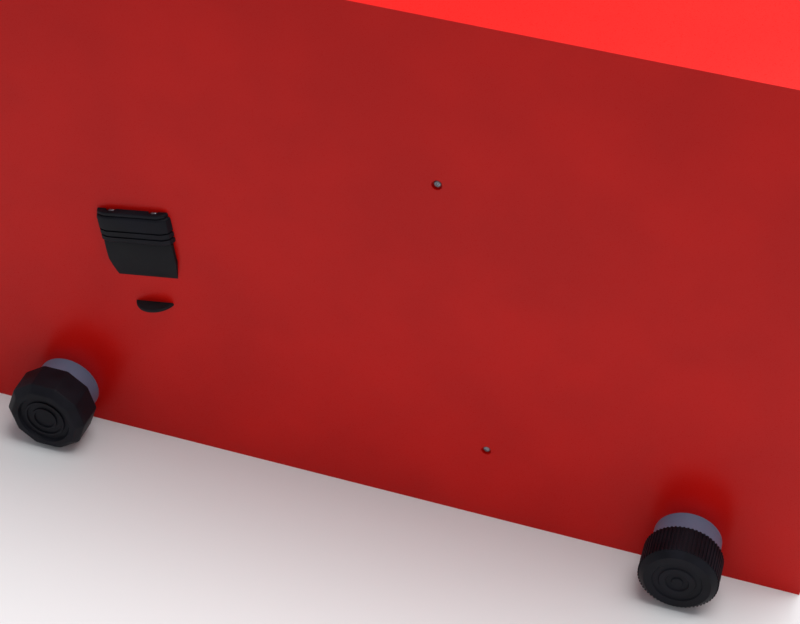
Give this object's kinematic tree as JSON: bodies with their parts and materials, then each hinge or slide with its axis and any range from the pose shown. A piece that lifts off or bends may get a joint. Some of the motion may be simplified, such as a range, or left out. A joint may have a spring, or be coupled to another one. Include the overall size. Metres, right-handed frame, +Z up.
{
  "type": "pedal exerciser",
  "caption": "Floor-standing magnetic pedal exerciser: bent crank and strapped pedals on a flywheel drive in a rounded housing, on two cross tubes with levelling caps.",
  "frame": {"origin": "on the floor, under the middle of the base", "axes": "+X towards the front post, +Y to the rider's left, +Z up"},
  "size_m": [0.6615, 0.51, 0.4482],
  "materials": {
    "blue_paint": "satin powder coat",
    "red_cover": "satin gloss",
    "grey_cover": "metallic grey",
    "black_plastic": "fine grain",
    "black_rubber": "matt",
    "chrome": "polished",
    "zinc": "zinc plated",
    "steel": "bare",
    "cast_iron": "machined casting"
  },
  "bodies": {
    "frame": {"main_beam": "blue_paint", "seat_tube": "blue_paint", "front_post": "blue_paint", "crank_shell": "blue_paint", "rear_brace": "blue_paint", "front_brace": "blue_paint", "rear_saddle_plate": "blue_paint", "front_saddle_plate": "blue_paint", "rear_stabiliser_tube": "blue_paint", "front_stabiliser_tube": "blue_paint", "knob_boss": "zinc", "rear_bolt_left": "zinc", "rear_bolt_right": "zinc", "rear_nut_left": "zinc", "rear_nut_right": "zinc", "front_bolt_left": "zinc", "front_bolt_right": "zinc", "front_nut_left": "zinc", "front_nut_right": "zinc", "seat_tube_bushing": "black_plastic", "rear_cap_left": "black_plastic", "rear_cap_right": "black_plastic", "knob_spring": "steel", "bearing_cup_left": "steel", "bearing_cup_right": "steel", "flywheel_axle": "steel", "fork_plate_left": "steel", "fork_plate_right": "steel", "idler_arm": "steel", "brake_mount": "steel", "drive_belt": "black_rubber", "main_cover_left": "red_cover", "main_cover_right": "red_cover", "front_cover_left": "grey_cover", "front_cover_right": "grey_cover", "rear_cover_left": "grey_cover", "rear_cover_right": "grey_cover"},
    "crank_set": {"crank": "chrome", "drive_pulley": "black_plastic", "hub_disc_left": "black_plastic", "hub_disc_right": "black_plastic", "hub_nut_left": "black_plastic", "hub_nut_right": "black_plastic", "pedal_spindle_left": "zinc", "pedal_spindle_right": "zinc"},
    "pedal_left": {"pedal_body_left": "black_plastic", "pedal_tread_left": "black_plastic", "toe_strap_left": "black_rubber"},
    "pedal_right": {"pedal_body_right": "black_plastic", "pedal_tread_right": "black_plastic", "toe_strap_right": "black_rubber"},
    "flywheel_set": {"flywheel": "cast_iron", "flywheel_pulley": "steel"},
    "idler": {"idler_pulley": "black_plastic"},
    "brake": {"brake_arm": "steel", "brake_magnets": "cast_iron"},
    "seat_pin": {"plunger_pin": "chrome"},
    "seat_knob": {"selector_knob": "black_plastic"},
    "levelling_cap_left": {"front_cap_left": "black_plastic"},
    "levelling_cap_right": {"front_cap_right": "black_plastic"}
  },
  "joints": [
    {"name": "crank_spin", "type": "hinge", "parent": "frame", "child": "crank_set", "pos_m": [0.0536, 0, 0.245], "axis": [0, 1, 0], "continuous": true},
    {"name": "pedal_left_spin", "type": "hinge", "parent": "crank_set", "child": "pedal_left", "pos_m": [0.2156, 0.16, 0.245], "axis": [0, 1, 0], "continuous": true},
    {"name": "pedal_right_spin", "type": "hinge", "parent": "crank_set", "child": "pedal_right", "pos_m": [-0.1084, -0.16, 0.245], "axis": [0, 1, 0], "continuous": true},
    {"name": "flywheel_spin", "type": "hinge", "parent": "frame", "child": "flywheel_set", "pos_m": [0.0632, 0, 0.131], "axis": [0, 1, 0], "continuous": true},
    {"name": "idler_spin", "type": "hinge", "parent": "frame", "child": "idler", "pos_m": [0.128, -0.018, 0.172], "axis": [0, 1, 0], "continuous": true},
    {"name": "brake_swing", "type": "hinge", "parent": "frame", "child": "brake", "pos_m": [-0.00165, 0, 0.082], "axis": [0, 1, 0], "range_deg": [-5, 0]},
    {"name": "seat_pin_pull", "type": "slide", "parent": "frame", "child": "seat_pin", "axis": [-0.9751, 0, -0.2215], "range_m": [0, 0.008], "stiffness_N_per_m": 600, "springref_m": -0.005, "deforming": ["knob_spring"]},
    {"name": "seat_knob_turn", "type": "hinge", "parent": "seat_pin", "child": "seat_knob", "pos_m": [-0.17131, 0, 0.38271], "axis": [-0.9751, 0, -0.2215], "range_deg": [-180, 180]},
    {"name": "cap_left_turn", "type": "hinge", "parent": "frame", "child": "levelling_cap_left", "pos_m": [0.2925, 0.238, 0.035], "axis": [0, 1, 0], "continuous": true},
    {"name": "cap_right_turn", "type": "hinge", "parent": "frame", "child": "levelling_cap_right", "pos_m": [0.2925, -0.238, 0.035], "axis": [0, 1, 0], "continuous": true}
  ],
  "couplings": [
    {"joint": "flywheel_spin", "follows": "crank_spin", "ratio": 4.25},
    {"joint": "idler_spin", "follows": "crank_spin", "ratio": -6.0714}
  ]
}
